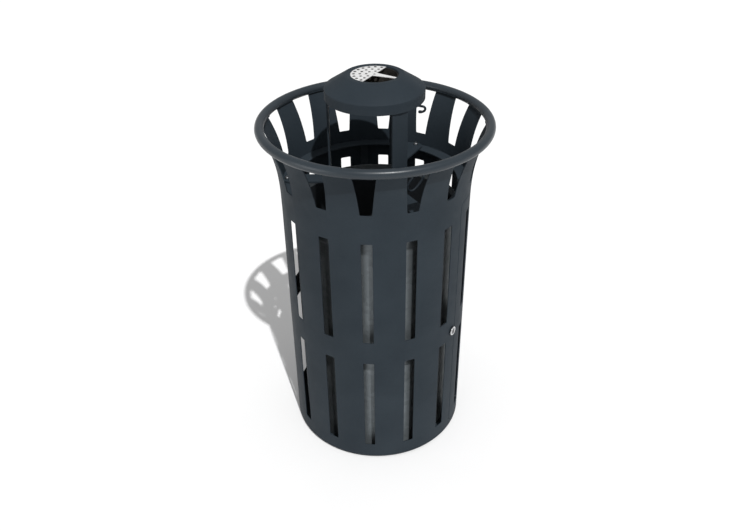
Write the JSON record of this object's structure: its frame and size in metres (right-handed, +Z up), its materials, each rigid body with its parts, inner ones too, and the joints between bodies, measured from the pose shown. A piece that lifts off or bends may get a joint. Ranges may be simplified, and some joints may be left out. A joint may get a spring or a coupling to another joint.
{
  "type": "litter bin",
  "caption": "Round slotted steel street litter bin with a flared tubular rim, lockable side door, lift-out liner and a hooded ashtray on a tripod over the mouth.",
  "frame": {"origin": "on the ground, on the bin's upright axis, at the bottom centre of the bounding box", "axes": "+Z up along the bin's axis, -Y towards the front, +X towards the side that carries the door"},
  "size_m": [0.5072, 0.5072, 0.8986],
  "materials": {
    "coated_steel": "fine-textured anthracite powder coat on steel",
    "zinc_steel": "bright zinc-plated steel",
    "chrome": "polished chrome plate",
    "galvanised_steel": "galvanised sheet with a faint spangle",
    "stainless_steel": "polished stainless steel",
    "rubber": "black moulded rubber"
  },
  "bodies": {
    "root": {"shell_body": "coated_steel", "rim_tube": "coated_steel", "ledge_ring": "coated_steel", "base_plate": "coated_steel", "foot_1": "rubber", "foot_2": "rubber", "foot_3": "rubber", "foot_4": "rubber", "foot_screw_1": "zinc_steel", "foot_screw_2": "zinc_steel", "foot_screw_3": "zinc_steel", "foot_screw_4": "zinc_steel", "tripod_leg_1": "coated_steel", "tripod_leg_2": "coated_steel", "tripod_leg_3": "coated_steel", "leg_bolt_1": "zinc_steel", "leg_bolt_2": "zinc_steel", "leg_bolt_3": "zinc_steel", "leg_nut_1": "zinc_steel", "leg_nut_2": "zinc_steel", "leg_nut_3": "zinc_steel", "hood": "coated_steel", "cup_sleeve": "coated_steel", "hood_hook": "coated_steel", "leg_hook": "coated_steel", "door_stop_upper": "coated_steel", "door_stop_lower": "coated_steel", "door_stop_hinge": "coated_steel", "lock_housing": "chrome", "lock_nut": "zinc_steel", "hinge_shell_half_1": "coated_steel", "hinge_shell_half_2": "coated_steel", "hinge_pin_1": "zinc_steel", "hinge_pin_2": "zinc_steel"},
    "door": {"door_panel": "coated_steel", "door_keeper": "coated_steel", "hinge_door_half_1": "coated_steel", "hinge_door_half_2": "coated_steel"},
    "lock": {"lock_plug": "chrome", "lock_cam": "zinc_steel", "lock_cam_screw": "zinc_steel"},
    "liner_body": {"liner": "galvanised_steel"},
    "ash_insert": {"ash_cup": "stainless_steel", "stub_plate": "stainless_steel"}
  },
  "joints": [
    {"name": "door_hinge", "type": "hinge", "parent": "root", "child": "door", "pos_m": [-0.02791, 0.21621, 0.33], "axis": [0, 0, 1], "range_deg": [0, 110]},
    {"name": "lock_turn", "type": "hinge", "parent": "root", "child": "lock", "pos_m": [0.17307, -0.11894, 0.324], "axis": [0.8241, -0.5664, 0], "range_deg": [0, 90]},
    {"name": "liner_lift", "type": "slide", "parent": "root", "child": "liner_body", "axis": [0, 0, 1], "range_m": [0, 0.04]},
    {"name": "ash_insert_lift", "type": "slide", "parent": "root", "child": "ash_insert", "axis": [0, 0, 1], "range_m": [0, 0.07]}
  ]
}
